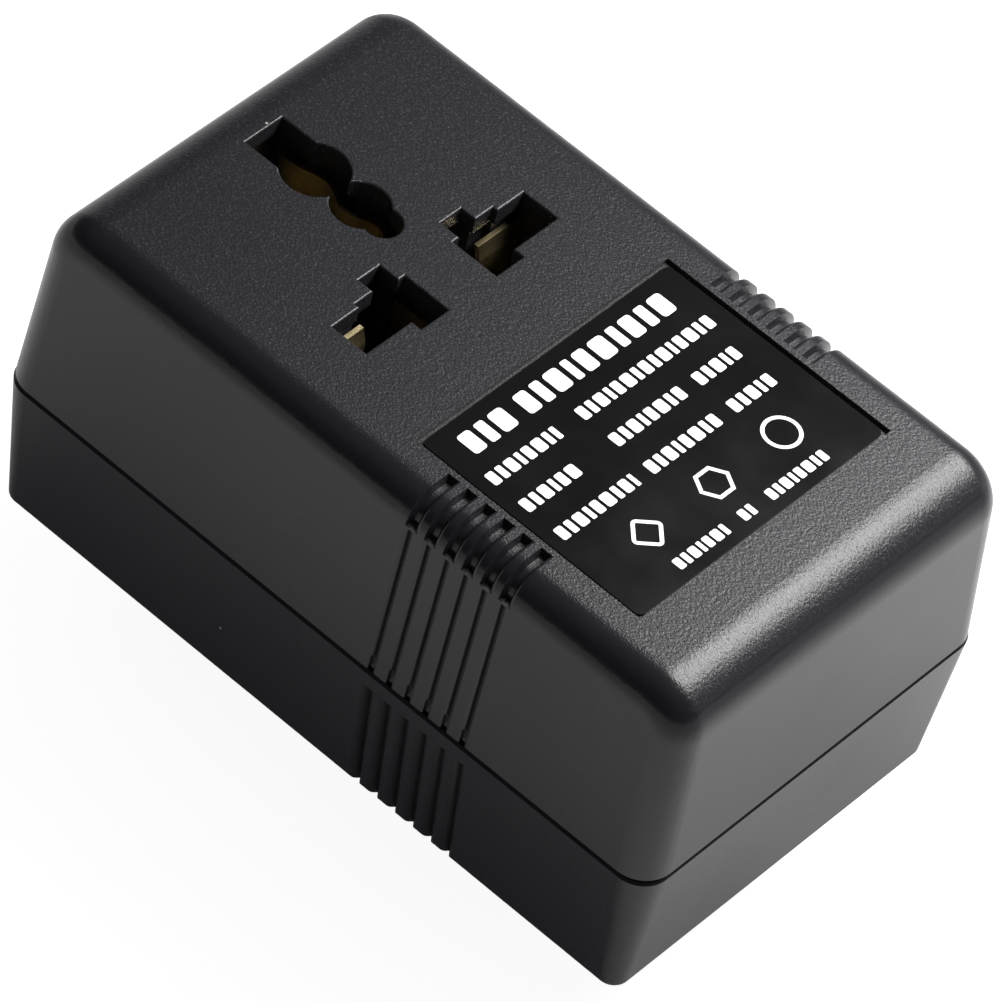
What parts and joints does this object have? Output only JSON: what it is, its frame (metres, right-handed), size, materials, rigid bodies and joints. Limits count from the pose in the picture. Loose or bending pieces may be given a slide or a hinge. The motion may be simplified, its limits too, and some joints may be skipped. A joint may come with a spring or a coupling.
{
  "type": "travel voltage converter",
  "caption": "Block mains converter: two-part ribbed case with a multi-standard outlet and a recessed label on top, round input pins below and a transformer inside.",
  "frame": {"origin": "centre of the flat back face, which lies against the wall outlet", "axes": "+Z out of the outlet's face, +X along the case towards the label end, +Y across it"},
  "size_m": [0.093, 0.0552, 0.0647],
  "materials": {
    "case_top": "fine moulded grain, satin",
    "case_base": "smooth moulded, satin",
    "label_film": "printed film",
    "carrier_black": "moulded",
    "zinc_screw": "zinc plated",
    "contact_brass": "stamped strip",
    "nickel_pin": "nickel plated",
    "tinned_lug": "tinned",
    "core_steel": "laminated sheet",
    "bobbin_nylon": "moulded nylon",
    "copper_winding": "enamelled copper wire",
    "coil_tape": "polyester tape",
    "pad_foam": "foam",
    "fuse_body": "sleeved",
    "live_lead": "insulated",
    "neutral_lead": "insulated"
  },
  "bodies": {
    "root": {"top_shell": "case_top", "bottom_shell": "case_base", "rating_label": "label_film", "contact_carrier": "carrier_black", "carrier_cover": "carrier_black", "carrier_screws": "zinc_screw", "live_contact": "contact_brass", "neutral_contact": "contact_brass", "earth_contact": "contact_brass", "live_plug_pin": "nickel_pin", "neutral_plug_pin": "nickel_pin", "pin_retainer": "carrier_black", "retainer_screws": "zinc_screw", "pin_terminals": "tinned_lug", "pin_nuts": "zinc_screw", "i_laminations": "core_steel", "e_laminations": "core_steel", "bobbin": "bobbin_nylon", "bobbin_terminals": "tinned_lug", "primary_winding": "copper_winding", "insulation_tape": "coil_tape", "secondary_winding": "copper_winding", "winding_wrap": "coil_tape", "transformer_screws": "zinc_screw", "foam_pad": "pad_foam", "thermal_fuse": "fuse_body", "housing_screws": "zinc_screw", "live_pin_lead": "live_lead", "live_fuse_lead": "live_lead", "neutral_pin_lead": "neutral_lead", "live_outlet_lead": "live_lead", "neutral_outlet_lead": "neutral_lead"}
  },
  "joints": []
}
